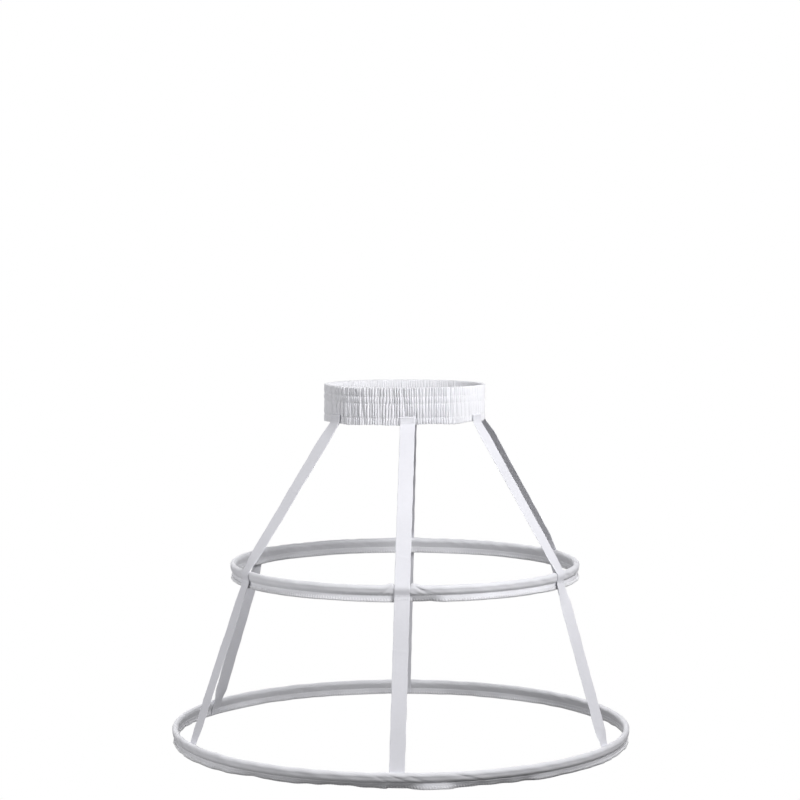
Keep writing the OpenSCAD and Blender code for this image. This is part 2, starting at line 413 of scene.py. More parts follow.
def gather_phase(t, height):
    """A full turn from each gather's valley to the next: uneven in width and lean, shifted at each row."""
    width = WIDTH_SWAY * ring_noise(t, *WIDTH_NOISE)
    lean = LEAN_SWAY * ring_noise(t, *LEAN_NOISE) * height / BAND_H
    phase = GATHERS * t + width + lean
    for row, noise in zip(BAND_ROWS, ROW_NOISES):
        past = smooth_step(height, row - ROW_REACH, row + ROW_REACH)
        phase = phase + ROW_SWAY * past * ring_noise(t, *noise)
    return phase


def gather_wave(t, height):
    """The gathers at a height: broad ridges of uneven size with narrow valleys between them."""
    size = RIDGE_SIZE + RIDGE_SWAY * ring_noise(t + RIDGE_DRIFT * height / WAIST_A, *RIDGE_NOISE)
    ridge = np.abs(np.sin(gather_phase(t, height) / 2)) ** RIDGE_POWER
    return ridge * np.clip(size, *RIDGE_LIMITS)


def gather_share(t, height):
    """How far the gathers stand out: less along the stitch rows, and pressed down under the straps."""
    dent = ROW_DENT * np.exp(-((height - BAND_ROWS) / ROW_REACH) ** 2).sum()
    places, shares = zip(*FULLNESS)
    free = np.interp(turned(t), np.radians(places), shares, period=FULL_TURN) * (1 - dent)
    pressed = near_strap(t) * (1 - smooth_step(height, STRAP_LAP, STRAP_LAP + PRESSED_ABOVE))
    return free + (PRESSED_SHARE - free) * pressed


def band_outside(t, height):
    """Distance of the waistband's outside from the waist opening."""
    seam = np.exp(-(turned(t - math.pi) * WAIST_B / BAND_SEAM_W) ** 2)
    loose = BAND_LOOSE * ring_noise(t, *LOOSE_NOISE)
    gathered = GATHER_H * gather_share(t, height) * gather_wave(t, height)
    return BAND_BASE + loose + gathered - BAND_SEAM_DEPTH * seam


def band_inside(t, height):
    """Distance of the waistband's inside from the waist opening."""
    return INSIDE_BASE - INSIDE_GATHER * gather_wave(t, height)


def hung(t, height):
    """The height of a place on the waistband, whose frill has an uneven edge."""
    uneven = HEM_SWAY * ring_noise(t, *HEM_NOISE) - HEM_CURL * gather_wave(t, 0)
    edge = uneven + HEM_SLOPE * np.sin(t) - HEM_DROP
    return height + edge * (1 - smooth_step(height, 0, FRILL_ROW))


# Columns across a gather, as shares of it, closest by its valley
GATHER_PLACES = np.array([0, 0.05, 0.14, 0.3, 0.5, 0.7, 0.86, 0.95])
BAND_COLUMNS = GATHERS * len(GATHER_PLACES)
LINE_SAMPLES = 40 * GATHERS
LINE_MARGIN = 0.2
FOLD_R = 1.5 * MM
FOLD_STEPS = 6
BAND_FULLNESS = 1.4
# Heights of the outside's points, closer by the stitch rows and at both edges, and of the other skins'
NEAR_ROW = np.array([-2.2, -1.1, 0, 1.1, 2.2]) * MM
BETWEEN_ROWS = np.array([0, 0.7, 3, 13, 20, 32, 42, 45]) * MM
OUTSIDE = np.sort(np.concatenate([BETWEEN_ROWS, (BAND_ROWS[:, None] + NEAR_ROW).ravel()]))
BESIDE_ROWS = (BAND_ROWS[:, None] + [-ROW_REACH, ROW_REACH]).ravel()
HIDDEN = np.array([0, *BESIDE_ROWS, BAND_H - 3 * FOLD_R])


def gather_lines(height):
    """Angles of the columns at a height, from the middle of the back: each column runs down a gather."""
    t = np.linspace(math.pi - LINE_MARGIN, 3 * math.pi + LINE_MARGIN, LINE_SAMPLES)
    places = GATHERS // 2 + np.arange(GATHERS)[:, None] + GATHER_PLACES
    return np.interp(FULL_TURN * places.ravel(), gather_phase(t, height), t)


def closed_lengths(points):
    """Lengths along a closed line of points, back to its first point."""
    return lengths_along(np.concatenate([points, points[:1]]))


def make_waistband():
    """The strip's outside, its fold over the top, its inside, and the two skins that lie on the elastic."""
    fold = BAND_H - FOLD_R
    rows = []

    def add_skin(side, heights, inwards):
        for height in heights:
            t = gather_lines(height)
            rows.append((t, side(t, height) - inwards, hung(t, height)))

    add_skin(band_outside, [*OUTSIDE, fold], 0)
    t, outer, height = rows[-1]
    inner = band_inside(t, fold)
    for turn in np.linspace(0, math.pi, FOLD_STEPS + 1)[1:-1]:
        away = (outer + inner) / 2 + (outer - inner) / 2 * math.cos(turn)
        rows.append((t, away, height + FOLD_R * math.sin(turn)))
    add_skin(band_inside, [fold, *HIDDEN[::-1]], 0)
    add_skin(band_inside, HIDDEN, -BAND_CLOTH)
    add_skin(band_outside, HIDDEN[::-1], BAND_CLOTH)
    points = np.zeros((BAND_COLUMNS, len(rows), 3))
    for j, (t, away, height) in enumerate(rows):
        points[:, j, :2] = waist_point(t, away)[0]
        points[:, j, 2] = BAND_BOTTOM + height
    u = np.linspace(0, WAIST_GIRTH * BAND_FULLNESS, BAND_COLUMNS + 1)
    v = closed_lengths(points[0])
    return grid_piece("waistband_cloth", points, True, u, v, band_white)


# A stitch: places along it as shares of its length, and its radius and height above the cloth there
STITCH_L = 2.6 * MM
STITCH_PITCH = 3.0 * MM
THREAD_R = 0.2 * MM
STITCH_SHARES = np.array([-0.5, -0.42, -0.2, 0.2, 0.42, 0.5])
STITCH_RADII = THREAD_R * np.array([0.5, 0.9, 1, 1, 0.9, 0.5])
STITCH_LIFT = THREAD_R * np.array([-1.6, -0.2, 0.6, 0.6, -0.2, -1.6])


def stitch_angles(girth):
    """Angles of the points of a row of stitches round a ring of a given girth."""
    count = round(girth / STITCH_PITCH)
    middles = (np.arange(count) + 0.5) * FULL_TURN / count
    return middles[:, None] + STITCH_SHARES[None, :] * STITCH_L / girth * FULL_TURN


def make_band_stitches():
    """The rows of stitches round the waistband, at the gathers' middle height."""
    lines = []
    normals = []
    t = stitch_angles(WAIST_GIRTH)
    for height in BAND_ROWS:
        away = band_outside(t, height)
        away = away.mean(1, keepdims=True) + THREAD_R + STITCH_LIFT[None, :]
        point, normal = waist_point(t, away)
        z = np.full(t.shape + (1,), BAND_BOTTOM + height)
        lines.append(np.concatenate([point, z], -1))
        normals.append(np.concatenate([normal, np.zeros_like(z)], -1))
    return thread_piece("waistband_stitching", np.concatenate(lines), np.concatenate(normals),
                        STITCH_RADII)


# Casings: one strip folded round each rod and stitched below it, its two raw edges overlocked as a flange

def touch_angle(point, radius, side):
    """Angle at which a line from a point touches a circle about the origin."""
    return math.atan2(point[1], point[0]) + side * math.acos(radius / math.hypot(*point))


def tube_outline(steps_straight, steps_round):
    """Middle of the tube's cloth, from the outer stitch row over the rod to the inner one."""
    radius = TUBE_R - CASING_CLOTH / 2
    foot = np.array([FLANGE_HALF, -STITCH_DROP])
    start = touch_angle(foot, radius, 1)
    angles = np.linspace(start, math.pi - start, steps_round)
    arc = radius * np.stack([np.cos(angles), np.sin(angles)], -1)
    share = np.linspace(0, 1, steps_straight, endpoint=False)[:, None]
    rise = foot + (arc[0] - foot) * share
    fall = rise[::-1] * [-1, 1]
    return np.concatenate([rise, arc, fall])


# Unevenness of the flange's tilt: slow and quick waves in a turn, and the share of each
SLOW_WAVES = (4, 20)
QUICK_WAVES = (25, 70)
SLOW_SHARE = 0.7
QUICK_SHARE = 0.4
# Share of the tilt at the stitch row, and the run over which it comes back beside a strap
TILT_START = 0.55
SEWN_RUN = 4 * MM
# Puckers drawn from the stitching, and the slack between them
PUCKER_PITCH = 7 * MM
PUCKER_DEPTH = 0.35 * MM
PUCKER_REACH = 3 * MM
PUCKER_MEAN = 0.6
PUCKER_SWAY = 1.2
PUCKER_WAVES = (20, 80)
PULL_WAVES = (8, 60)
SLACK_DEPTH = 0.16 * MM
SLACK_REACH = 8 * MM
SLACK_WAVES = (12, 70)
SLACK_LEAN = 0.25
CLOTH_LEAN = 30 * MM
# The tube's sag between rod and stitch row, less on the inside, and its rise beside the straps
TUBE_SAG = 1.0 * MM
INNER_SAG = 0.1
RISE_RUN = 12 * MM
RISE_UNDER = 0.5 * MM
RISE_BESIDE = 3 * MM
# Drawn creases, and the seam where the strip's ends meet
CASING_CREASE = 0.9 * MM
CASING_CREASE_DEPTH = 0.7 * MM
CASING_CREASE_END = 2 * MM
SEAM_RIDGE = 0.35 * MM
SEAM_RIDGE_W = 1.6 * MM
SEAM_GROOVE = 0.4 * MM
SEAM_GROOVE_W = 0.5 * MM


class Casing:
    """One hoop's casing: where its cloth lies at any angle round the hoop."""

    def __init__(self, name, level, radius, centre, tilts, tilt_noise, strap_follows, rises, creases, seed):
        self.name = name
        self.level = level
        self.radius = radius
        self.centre = centre
        self.tilts = tilts
        self.tilt_noise = tilt_noise
        self.strap_follows = strap_follows
        self.rises = rises
        self.creases = creases
        self.seed = seed

    def tilt(self, angle):
        """How far the flange is turned outwards, in radians: listed round the front, and uneven."""
        places, values = zip(*self.tilts)
        chosen = np.interp(turned(angle), np.radians(places), np.radians(values), period=FULL_TURN)
        slow = ring_noise(angle, *SLOW_WAVES, self.seed)
        quick = ring_noise(angle, *QUICK_WAVES, self.seed + 1)
        uneven = SLOW_SHARE * slow + QUICK_SHARE * quick
        clear = 1 - self.sewn(angle)
        kept = chosen * np.maximum(clear, self.strap_follows)
        return kept + math.radians(self.tilt_noise) * uneven * clear

    def sewn(self, angle):
        """1 where a strap is sewn to the casing, 0 clear of the straps."""
        away = from_strap(angle, self.level) * self.radius
        return 1 - smooth_step(away, STRAP_W / 2, STRAP_W / 2 + SEWN_RUN)

    def flange(self, angle, down, off):
        """Points of the flange: a distance below the stitch row, and off its middle towards the outside."""
        bend = self.tilt(angle) * (TILT_START + (1 - TILT_START) * down / FLANGE_H)
        u = down * np.sin(bend) + off * np.cos(bend)
        v = -STITCH_DROP - down * np.cos(bend) + off * np.sin(bend)
        return u, v

    def place(self, angle, u, v):
        """Points in space from points of the section at angles round the hoop."""
        r = self.radius + u
        return self.centre + np.stack([r * np.sin(angle), -r * np.cos(angle), v + 0 * angle], -1)

    def ripple(self, angle, along, from_stitch):
        """How far the tube's cloth stands out: drawn lines from the stitching, and slack between them."""
        lean = along / CLOTH_LEAN
        puckers = round(FULL_TURN * self.radius / PUCKER_PITCH)
        sway = PUCKER_SWAY * ring_noise(angle, *PUCKER_WAVES, self.seed + 2)
        pucker = np.abs(np.cos(puckers / 2 * angle + lean + sway))
        pull = np.clip(0.5 + 0.5 * ring_noise(angle, *PULL_WAVES, self.seed + 3), 0, 1)
        drawn = (pucker - PUCKER_MEAN) * pull * np.exp(-from_stitch / PUCKER_REACH)
        slack = ring_noise(angle + SLACK_LEAN * lean, *SLACK_WAVES, self.seed + 4)
        slack = slack * np.clip(from_stitch / SLACK_REACH, 0, 1)
        return PUCKER_DEPTH * drawn + SLACK_DEPTH * slack

    def raised(self, angle):
        """How far the tube's top is drawn up beside the straps."""
        total = np.zeros_like(angle)
        for place, height in zip(strap_places(self.level), self.rises):
            away = np.abs(turned(angle - place)) * self.radius
            beside = smooth_step(away, STRAP_W / 2 - RISE_UNDER, STRAP_W / 2 + RISE_BESIDE)
            total += height * beside * np.exp(-((away - STRAP_W / 2) / RISE_RUN) ** 2)
        return total

    def creased(self, angle, height):
        """Depth of the drawn creases at a height on the tube's outside."""
        total = np.zeros_like(angle)
        for start, top, end, bottom in self.creases:
            slope = (end - start) / (top - bottom)
            away = turned(angle) * self.radius - start * MM - slope * (top * MM - height)
            foot = smooth_step(height, bottom * MM, bottom * MM + CASING_CREASE_END)
            head = smooth_step(top * MM - height, 0, CASING_CREASE_END)
            width = CASING_CREASE * math.hypot(1, slope)
            total += foot * head * np.exp(-(away / width) ** 2)
        return CASING_CREASE_DEPTH * total

    def seam(self, angle, along):
        """The slanting seam where the strip's ends are joined: a groove with a low ridge beside it."""
        away = turned(angle - JOIN_ANGLE) * self.radius - along
        ridge = SEAM_RIDGE * np.exp(-((away - SEAM_RIDGE_W) / SEAM_RIDGE_W) ** 2)
        return ridge - SEAM_GROOVE * np.exp(-(away / SEAM_GROOVE_W) ** 2)


CASING_COLUMNS = 1200
FLANGE_STEPS = 8
TUBE_STEPS = 6
ROUND_STEPS = 20
# The hidden skins have every fourth row of the flange and every third of the tube
HIDDEN_FLANGE = 4
HIDDEN_TUBE = 3


def make_casing(casing):
    """The strip from its outer raw edge over the tube to its inner one, and back along its hidden skin."""
    angle = np.arange(CASING_COLUMNS) * FULL_TURN / CASING_COLUMNS
    outline = tube_outline(TUBE_STEPS, ROUND_STEPS)
    along = lengths_along(outline)
    normals = np.gradient(outline, axis=0)
    normals = unit(np.stack([normals[:, 1], -normals[:, 0]], -1))
    downs = np.linspace(FLANGE_H, 0, FLANGE_STEPS, endpoint=False)
    straight = along[TUBE_STEPS]
    half = CASING_CLOTH / 2

    def flange_row(down, side, skin):
        """A row of the flange's outer (1) or inner (-1) layer, on its outer (1) or hidden (-1) skin."""
        u, v = casing.flange(angle, down, side * (FLANGE_HALF + skin * half))
        return casing.place(angle, u, v)

    def tube_row(k, skin):
        """A row of the tube, on its outer (1) or hidden (-1) skin."""
        from_stitch = min(along[k], along[-1] - along[k])
        middle = along[k] - along[-1] / 2
        outside = k < len(outline) / 2
        sag = TUBE_SAG * (1 if outside else INNER_SAG) * math.sin(math.pi * min(from_stitch / straight, 1))
        out = skin * half + sag + casing.ripple(angle, middle, from_stitch) + casing.seam(angle, middle)
        if outside:
            out = out - casing.creased(angle, outline[k, 1])
        upper_share = smooth_step(outline[k, 1], -TUBE_R, TUBE_R)
        u = outline[k, 0] + normals[k, 0] * out
        v = outline[k, 1] + normals[k, 1] * out + upper_share * casing.raised(angle)
        return casing.place(angle, u, v)

    rows = [flange_row(down, 1, 1) for down in downs]
    rows += [tube_row(k, 1) for k in range(len(outline))]
    rows += [flange_row(down, -1, 1) for down in downs[::-1]]
    rows += [flange_row(down, -1, -1) for down in downs[::HIDDEN_FLANGE]]
    rows += [tube_row(k, -1) for k in range(len(outline) - 1, -1, -HIDDEN_TUBE)]
    rows += [flange_row(down, 1, -1) for down in downs[::-1][::HIDDEN_FLANGE]]
    points = np.stack(rows, 1)
    u = np.linspace(0, FULL_TURN * casing.radius, CASING_COLUMNS + 1)
    v = closed_lengths(points[0])
    return grid_piece(casing.name + "_cloth", points, True, u, v, casing_white)


CASING_ROW_DROP = 0.6 * MM
CASING_ROW_SEAT = 0.3


def make_casing_stitches(casing):
    """The stitch row below the rod, on both sides of the casing."""
    angle = stitch_angles(FULL_TURN * casing.radius)
    lines = []
    normals = []
    for side in (1, -1):
        off = side * (FLANGE_HALF + CASING_CLOTH / 2 + STITCH_LIFT + CASING_ROW_SEAT * THREAD_R)
        u, v = casing.flange(angle, CASING_ROW_DROP, off[None, :])
        lines.append(casing.place(angle, u, v))
        normals.append(side * outward(angle))
    return thread_piece(casing.name + "_stitching", np.concatenate(lines), np.concatenate(normals),
                        STITCH_RADII)


OVERLOCK_PITCH = 3.7 * MM
OVERLOCK_REACH = 4.2 * MM
OVERLOCK_NEAR = 0.2 * MM
OVERLOCK_PAST = -0.35 * MM
OVERLOCK_R = 0.45 * MM
OVERLOCK_SEAT = 0.7


def make_overlock(casing):
    """The thread wound over the flange's raw edges: slanting down both faces, and round the edge."""
    loops = round(FULL_TURN * casing.radius / OVERLOCK_PITCH)
    far = OVERLOCK_REACH
    half = OVERLOCK_REACH / 2
    near = OVERLOCK_NEAR
    past = OVERLOCK_PAST
    # One loop: share of its pitch, distance up from the edge, side
    path = [(0.0, far, 1), (0.22, half, 1), (0.42, near, 1), (0.5, past, 0.4), (0.5, past, -0.4),
            (0.55, near, -1), (0.75, half, -1), (0.9, far, -1), (0.95, half, -1), (0.97, near, -1),
            (0.98, past, -0.3), (0.98, past, 0.3), (0.985, near, 1), (0.99, half, 1)]
    share, up, side = (np.array(column) for column in zip(*path))
    angle = ((np.arange(loops)[:, None] + share[None, :]) * FULL_TURN / loops).ravel()
    down = np.tile(FLANGE_H - up, loops)
    off = np.tile(side * (FLANGE_HALF + CASING_CLOTH / 2 + OVERLOCK_SEAT * OVERLOCK_R), loops)
    u, v = casing.flange(angle, down, off)
    line = casing.place(angle, u, v)
    normals = outward(angle) * np.sign(off)[:, None]
    radii = np.full(len(angle), OVERLOCK_R)
    return thread_piece(casing.name + "_overlock", line[None], normals[None], radii,
                        loop=True, sides=4)


# Tilt of each flange at places round its hoop, in degrees from the front: positive is outwards
UPPER_TILTS = [(-180, 4), (-120, 8), (-80, 12), (-45, 20), (-20, 22), (-5, 18), (-2, 8), (2.4, -10),
               (3.4, -28), (9, -30), (11.5, -12), (13.5, 14), (40, 22), (75, 14), (120, 8), (179, 4)]
LOWER_TILTS = [(-180, 6), (-140, 2), (-100, 6), (-72, 2), (-60, 8), (-50, -8), (-40, -20), (-30, -26),
               (-24, -36), (-14, -48), (-5, -40), (2.5, -34), (5, -6), (6.5, 14), (8.5, 24), (10.5, 20),
               (12, 4), (14, -24), (20, -38), (30, -25), (40, -16), (55, -12), (70, 2), (110, 8),
               (150, 4), (179, 6)]
# How far each tube is drawn up beside each strap
UPPER_RISES = np.array([3.2, 1.2, 1, 1, 1, 1.2]) * MM
LOWER_RISES = np.array([0.8, 0.6, 0.5, 0.5, 0.5, 0.6]) * MM
# Slanting creases by the front strap: place along the hoop and height, at the top and the bottom, in mm
UPPER_CREASES = [(12, 5, 36, -8), (12, 2.5, 48, -8), (12, -2, 26, -8), (-12, 3, -30, -8)]
LOWER_CREASES = [(-30, 2, -8, -8), (-14, 3, 20, -8), (14, 1, 40, -8), (70, 3, 110, -8)]
upper_casing = Casing("upper_casing", level=1, radius=UPPER_R, centre=UPPER_C, tilts=UPPER_TILTS,
                      tilt_noise=4, strap_follows=False, rises=UPPER_RISES, creases=UPPER_CREASES, seed=700)
lower_casing = Casing("lower_casing", level=2, radius=LOWER_R, centre=LOWER_C, tilts=LOWER_TILTS,
                      tilt_noise=7, strap_follows=True, rises=LOWER_RISES, creases=LOWER_CREASES, seed=800)


# Straps: flat tapes from the waistband, over the upper casing and inside the lower one

STRAP_STEP = 1.6 * MM
STRAP_SOFT = 2.2 * MM
SIDE_SOFT = 6 * MM
STRAP_EASE = 0.2 * MM
# Where the middle line lies off the waistband's pressed gathers, and its last height there
BAND_PRESSED = 0.26
BAND_CLEAR = 0.7 * MM
BAND_LEAVE = 0.5 * MM
# Where it lies off each casing's tube and flange, and how far it stops short of the lower flange's edge
UPPER_CLEAR = 0.4 * MM
UPPER_BRIDGE = 1.6 * MM
LOWER_CLEAR = 0.1 * MM
LOWER_FLANGE_CLEAR = 0.25 * MM
LOWER_SLACK = 0.3 * MM
LOWER_SHORT = 0.5 * MM
TUBE_STATIONS = 9
END_STATIONS = 4


def sideways(phi):
    return np.array([math.cos(phi), math.sin(phi), 0])


def section_point(phi, hoop_centre, radius, u, v):
    """A point of a hoop's section: u outwards from its rod and v up."""
    return hoop_centre + outward(phi) * (radius + u) + np.array([0, 0, v])


def round_tube(phi, hoop_centre, radius, start, end, reach, normal_sign):
    """Stations of a strap's middle line round a casing's tube."""
    stations = []
    for a in np.linspace(start, end, TUBE_STATIONS):
        u = math.cos(a)
        v = math.sin(a)
        normal = outward(phi) * u + np.array([0, 0, v])
        place = section_point(phi, hoop_centre, radius, reach * u, reach * v)
        stations.append((place, sideways(phi), normal * normal_sign))
    return stations


def strap_stations(number):
    """Stations down a strap's middle line: centres, directions of its width, outward normals."""
    t, upper_phi, lower_phi = (strap_places(level)[number] for level in range(3))
    seat = STRAP_EASE + STRAP_T / 2
    point, normal = waist_point(t, BAND_BASE + BAND_PRESSED * GATHER_H + seat + BAND_CLEAR)
    waist_normal = np.array([*normal, 0])
    waist_side = np.array([-normal[1], normal[0], 0])
    rise = point @ outward(upper_phi)[:2]
    stations = [(np.array([*point, BAND_BOTTOM + STRAP_LAP]), waist_side, waist_normal),
                (np.array([*point, BAND_BOTTOM + BAND_LEAVE]), waist_side, waist_normal)]
    # Over the outside of the upper casing
    reach = TUBE_R + seat + UPPER_CLEAR
    foot = (FLANGE_HALF + CASING_CLOTH / 2 + seat + UPPER_BRIDGE, -STITCH_DROP)
    top = touch_angle((rise - UPPER_R, BAND_BOTTOM - UPPER_C[2]), reach, -1)
    low = touch_angle(foot, reach, 1)
    stations += round_tube(upper_phi, UPPER_C, UPPER_R, top, low, reach, 1)
    foot_place = section_point(upper_phi, UPPER_C, UPPER_R, *foot)
    stations.append((foot_place, sideways(upper_phi), outward(upper_phi)))
    # Down the inside of the lower casing
    inside = seat + STRAP_W ** 2 / (8 * LOWER_R)
    reach = TUBE_R + inside + LOWER_CLEAR
    foot_in = (-FLANGE_HALF - CASING_CLOTH / 2 - inside - LOWER_FLANGE_CLEAR, -STITCH_DROP)
    above = foot_place - LOWER_C
    top = touch_angle((above @ outward(lower_phi) - LOWER_R, above[2]), reach, 1)
    low = math.pi - touch_angle((-foot_in[0], foot_in[1]), reach, 1)
    stations += round_tube(lower_phi, LOWER_C, LOWER_R, top, low, reach, -1)
    for down in np.linspace(0, FLANGE_H - LOWER_SHORT, END_STATIONS):
        u, v = lower_casing.flange(np.array(lower_phi), down, foot_in[0] - LOWER_SLACK)
        place = section_point(lower_phi, LOWER_C, LOWER_R, float(u), float(v))
        stations.append((place, sideways(lower_phi), outward(lower_phi)))
    return [np.array(column) for column in zip(*stations)]


def softened(values, length):
    """Values down a strap, smoothed as the tape's own stiffness does, with its ends kept."""
    reach = max(1, round(2 * length / STRAP_STEP))
    weights = np.exp(-0.5 * (np.arange(-reach, reach + 1) * STRAP_STEP / length) ** 2)
    weights /= weights.sum()
    front = 2 * values[:1] - values[1:reach + 1][::-1]
    back = 2 * values[-1:] - values[-reach - 1:-1][::-1]
    longer = np.concatenate([front, values, back])
    return np.stack([np.convolve(longer[:, k], weights, mode="valid") for k in range(values.shape[1])], -1)


TWIST_RUN = 30 * MM
TWIST_CLEAR = 5 * MM
TWIST_END = 0.7


class Strap:
    """A strap's middle line, at even steps down its length."""

    def __init__(self, number):
        centres, sides, normals = strap_stations(number)
        length = lengths_along(centres)
        self.length = length[-1]
        self.at = np.linspace(0, self.length, round(self.length / STRAP_STEP) + 1)

        def at_steps(values):
            return np.stack([np.interp(self.at, length, values[:, k]) for k in range(3)], -1)

        self.centre = softened(at_steps(centres), STRAP_SOFT)
        self.upper_row = self.at_height(UPPER_C[2] - STITCH_DROP)
        self.lower_row = self.at_height(LOWER_C[2] - STITCH_DROP)
        self.side = unit(softened(at_steps(sides), SIDE_SOFT))
        straight_normal = self.normals_from(normals[0])
        twist = self.twist(*STRAP_TWISTS[number])[:, None]
        frontal = np.sign(self.side[:, 1:2])
        self.side = self.side * np.cos(twist) + frontal * straight_normal * np.sin(twist)
        self.normal = self.normals_from(normals[0])

    def at_height(self, z):
        """The step nearest to a height."""
        return self.at[np.argmin(np.abs(self.centre[:, 2] - z))]

    def normals_from(self, first):
        """Normals down the strap, on the side of the first one."""
        normal = unit(np.cross(self.side, unit(np.gradient(self.centre, axis=0))))
        return normal if normal[0] @ first >= 0 else -normal

    def twist(self, upper, lower):
        """How far the tape is twisted down its length, in radians: clear of the places where it is sewn."""
        bound = TUBE_R + STITCH_DROP
        above = smooth_step(self.at, STRAP_LAP, STRAP_LAP + TWIST_RUN)
        above *= smooth_step(self.upper_row - self.at, bound, bound + TWIST_RUN)
        below = smooth_step(self.at - self.upper_row, TWIST_CLEAR, TWIST_CLEAR + TWIST_RUN)
        below *= smooth_step(self.lower_row - self.at, bound, bound + TWIST_END * TWIST_RUN)
        return math.radians(upper) * above + math.radians(lower) * below

    def step_at(self, at):
        """The number of the step at a length, with its fraction."""
        return np.clip(np.asarray(at) / self.length * (len(self.at) - 1), 0, len(self.at) - 1)

    def surface(self, at, across, off):
        """Points on the strap: down its length, across its width and off its middle."""
        k = self.step_at(at)
        low = np.minimum(k.astype(int), len(self.at) - 2)
        share = (k - low)[..., None]

        def between(values):
            return values[low] * (1 - share) + values[low + 1] * share

        sideways_part = between(self.side) * np.asarray(across)[..., None]
        return between(self.centre) + sideways_part + between(self.normal) * off[..., None]


# Places across a strap, as shares of its half width, and the share of its thickness there
ACROSS = np.array([-1, -0.97, -0.9, -0.82, -0.6, -0.3, 0, 0.3, 0.6, 0.82, 0.9, 0.97, 1])
THICK = np.array([0.35, 0.8, 1.15, 1.0, 0.97, 0.95, 0.95, 0.95, 0.97, 1.0, 1.15, 0.8, 0.35])
EDGE_V = STRAP_T / (STRAP_W / 2)
STRAP_SEED = 900
# Where the tape is free to wave: runs below the waistband, above the lower row and beside the upper row
FREE_TOP = 30 * MM
FREE_FOOT = (10 * MM, 40 * MM)
FREE_BESIDE = (16 * MM, 45 * MM)
STRAP_WAVES = 5
WAVE_LENGTHS_MM = (60, 160)
WAVE_DEPTH = 0.08 * MM
WAVE_TIP = 0.6
# One crease below the upper casing and others by chance, in the range left by two margins
CREASE_BELOW = 26 * MM
CREASE_MARGINS = (40 * MM, 30 * MM)
CREASES_BY_CHANCE = 3
CREASE_SLANT_MM = 5
CREASE_DEPTHS_MM = (0.2, 0.42)
CREASE_W = 0.9 * MM
# The upper end is turned under, and the edges sway a little
TURNED_UNDER = 0.9
TURNED_END = (1.5 * MM, 0.5 * MM)
EDGE_SWAY = 0.2 * MM
EDGE_WAVE = 37 * MM
EDGE_FROM = 0.8


def make_strap(number, strap):
    """The tape, with its slight waves and creases."""
    draw = np.random.default_rng(STRAP_SEED + number)
    at = strap.at
    free = smooth_step(at, STRAP_LAP, STRAP_LAP + FREE_TOP)
    free = free * smooth_step(strap.lower_row - at, *FREE_FOOT)
    free = free * smooth_step(np.abs(at - strap.upper_row), *FREE_BESIDE)
    lift = np.zeros((len(at), len(ACROSS)))
    for _ in range(STRAP_WAVES):
        wave = draw.uniform(*WAVE_LENGTHS_MM) * MM
        phase = draw.uniform(0, FULL_TURN)
        tip = draw.uniform(-WAVE_TIP, WAVE_TIP)
        lift += WAVE_DEPTH * np.sin(FULL_TURN * at / wave + phase)[:, None] * (1 + tip * ACROSS[None, :])
    lift *= free[:, None]
    by_chance = draw.uniform(CREASE_MARGINS[0], strap.lower_row - CREASE_MARGINS[1], CREASES_BY_CHANCE)
    creases = [strap.upper_row + CREASE_BELOW, *by_chance]
    slants = draw.uniform(-CREASE_SLANT_MM, CREASE_SLANT_MM, len(creases)) * MM
    depths = draw.uniform(*CREASE_DEPTHS_MM, len(creases)) * MM
    for place, slant, depth in zip(creases, slants, depths):
        away = at[:, None] - place - slant * ACROSS[None, :]
        lift += depth * np.exp(-np.abs(away) / CREASE_W) * free[:, None]
    half = STRAP_T / 2 * THICK
    end = STRAP_LAP - np.array(TURNED_END)
    layers = 1 + TURNED_UNDER * (1 - smooth_step(at, *end))
    sway = EDGE_SWAY * np.sin(FULL_TURN * at / EDGE_WAVE + number) * free
    edges = np.sign(ACROSS) * (np.abs(ACROSS) > EDGE_FROM)
    place = ACROSS[None, :] * STRAP_W / 2 + sway[:, None] * edges[None, :]
    down = np.broadcast_to(at[:, None], place.shape)
    top = strap.surface(down, place, lift + half[None, :] * layers[:, None])
    under = strap.surface(down, place, lift - half[None, :])
    points = np.concatenate([top, under[:, ::-1]], 1)
    v = np.concatenate([ACROSS, 2 + EDGE_V - ACROSS[::-1], [3 + 2 * EDGE_V]]) * STRAP_W / 2
    return grid_piece(f"strap_{STRAPS[number]}_tape", points, False, at, v, tape_white)


STRAP_STITCHES = 7
STRAP_STITCH_PITCH = 2.7 * MM
STRAP_STITCH_L = 2.3 * MM
STRAP_STITCH_SEAT = 0.5
SEWN_FROM_END = 2 * MM
SEWN_FROM_HEM = 2.5 * MM
SEWN_PITCH = 5 * MM
SEWN_LOWER = 1 * MM


def make_strap_stitches(number, strap):
    """Stitch rows across a strap where it is sewn: two at the waistband, two at each casing."""
    lower = strap.lower_row + SEWN_LOWER
    # Place of each row, the side of the strap on which it shows, and the layers of tape there
    rows = [(SEWN_FROM_END, 1, 1.9), (STRAP_LAP - SEWN_FROM_HEM, 1, 1.6),
            (strap.upper_row, 1, 1), (strap.upper_row + SEWN_PITCH, 1, 1),
            (lower, -1, 1), (lower + SEWN_PITCH, -1, 1)]
    middles = (np.arange(STRAP_STITCHES) - (STRAP_STITCHES - 1) / 2) * STRAP_STITCH_PITCH
    across = middles[:, None] + STITCH_SHARES[None, :] * STRAP_STITCH_L
    lines = []
    normals = []
    for place, side, layers in rows:
        off = side * (STRAP_T / 2 * layers + STITCH_LIFT + STRAP_STITCH_SEAT * THREAD_R)
        line = strap.surface(np.full(across.shape, place), across, np.broadcast_to(off, across.shape))
        normal = side * strap.normal[int(strap.step_at(place))]
        lines.append(line)
        normals.append(np.broadcast_to(normal, line.shape))
    return thread_piece(f"strap_{STRAPS[number]}_stitching", np.concatenate(lines), np.concatenate(normals),
                        STITCH_RADII)


# Build the pieces
waistband = make_waistband()
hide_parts("waistband")
band_stitching = make_band_stitches()

